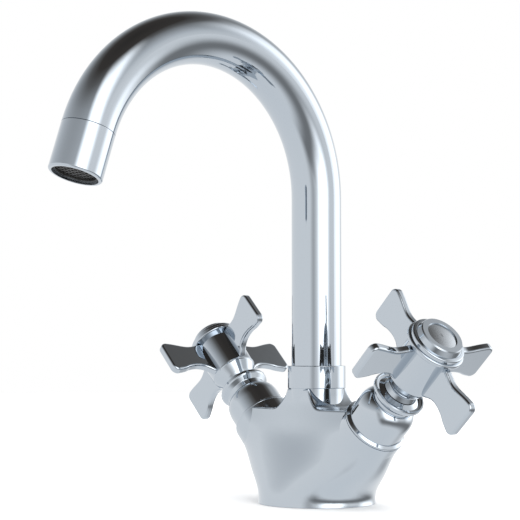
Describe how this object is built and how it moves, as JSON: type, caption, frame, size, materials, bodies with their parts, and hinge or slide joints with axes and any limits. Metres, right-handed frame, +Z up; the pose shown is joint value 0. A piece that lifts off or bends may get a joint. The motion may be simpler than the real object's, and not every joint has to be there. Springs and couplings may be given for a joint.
{
  "type": "bathroom mixer faucet",
  "caption": "Two-handle basin mixer with a C-shaped swivel spout, angled valve ports and cross handles on quarter-turn ceramic valves.",
  "frame": {"origin": "centre of the base's underside, on the spout's swivel axis", "axes": "+Z up, -Y the front (towards the basin), +X the cold handle's side, -X the hot handle's side"},
  "size_m": [0.1932, 0.1732, 0.2079],
  "materials": {
    "chrome_plate": "bright decorative chrome plating on brass, polished",
    "index_enamel": "bright chrome, slightly satin, blank",
    "brass": "machined",
    "ceramic": "lapped alumina ceramic",
    "rubber": "moulded EPDM, matte",
    "acetal_white": "moulded acetal",
    "acetal_dark": "moulded acetal, dark grey",
    "stainless": "stainless steel"
  },
  "bodies": {
    "body": {"body_casting": "chrome_plate", "base_seal": "rubber", "spout_collar": "chrome_plate", "spout_retaining_screw": "stainless", "cold_port_trim_ring": "chrome_plate", "cold_headwork_body": "brass", "cold_headwork_seal": "rubber", "cold_fixed_disc": "ceramic", "cold_bonnet_cover": "chrome_plate", "cold_escutcheon": "chrome_plate", "hot_port_trim_ring": "chrome_plate", "hot_headwork_body": "brass", "hot_headwork_seal": "rubber", "hot_fixed_disc": "ceramic", "hot_bonnet_cover": "chrome_plate", "hot_escutcheon": "chrome_plate"},
    "spout": {"spout_tube": "chrome_plate", "spout_foot": "brass", "spout_seals": "rubber", "spout_slide_ring": "acetal_white", "aerator_housing": "chrome_plate", "aerator_insert": "acetal_dark", "aerator_screen": "stainless", "aerator_screen_ring": "acetal_white", "aerator_washer": "rubber"},
    "cold_handle": {"cold_cross_handle": "chrome_plate", "cold_spline_insert": "acetal_white", "cold_handle_screw": "stainless", "cold_stepped_collar": "chrome_plate", "cold_cap_ring": "chrome_plate", "cold_index_button": "index_enamel", "cold_spindle": "brass", "cold_spindle_seals": "rubber", "cold_moving_disc": "ceramic", "cold_spindle_circlip": "stainless"},
    "hot_handle": {"hot_cross_handle": "chrome_plate", "hot_spline_insert": "acetal_white", "hot_handle_screw": "stainless", "hot_stepped_collar": "chrome_plate", "hot_cap_ring": "chrome_plate", "hot_index_button": "index_enamel", "hot_spindle": "brass", "hot_spindle_seals": "rubber", "hot_moving_disc": "ceramic", "hot_spindle_circlip": "stainless"}
  },
  "joints": [
    {"name": "spout_swivel", "type": "hinge", "parent": "body", "child": "spout", "pos_m": [0, 0, 0.045], "axis": [0, 0, 1], "range_deg": [-64.35, 55.65]},
    {"name": "cold_handle_turn", "type": "hinge", "parent": "body", "child": "cold_handle", "pos_m": [0.05169, 0, 0.0472], "axis": [0.7385, 0, 0.6743], "range_deg": [0, 90]},
    {"name": "hot_handle_turn", "type": "hinge", "parent": "body", "child": "hot_handle", "pos_m": [-0.05169, 0, 0.0472], "axis": [-0.7385, 0, 0.6743], "range_deg": [0, 90]}
  ]
}
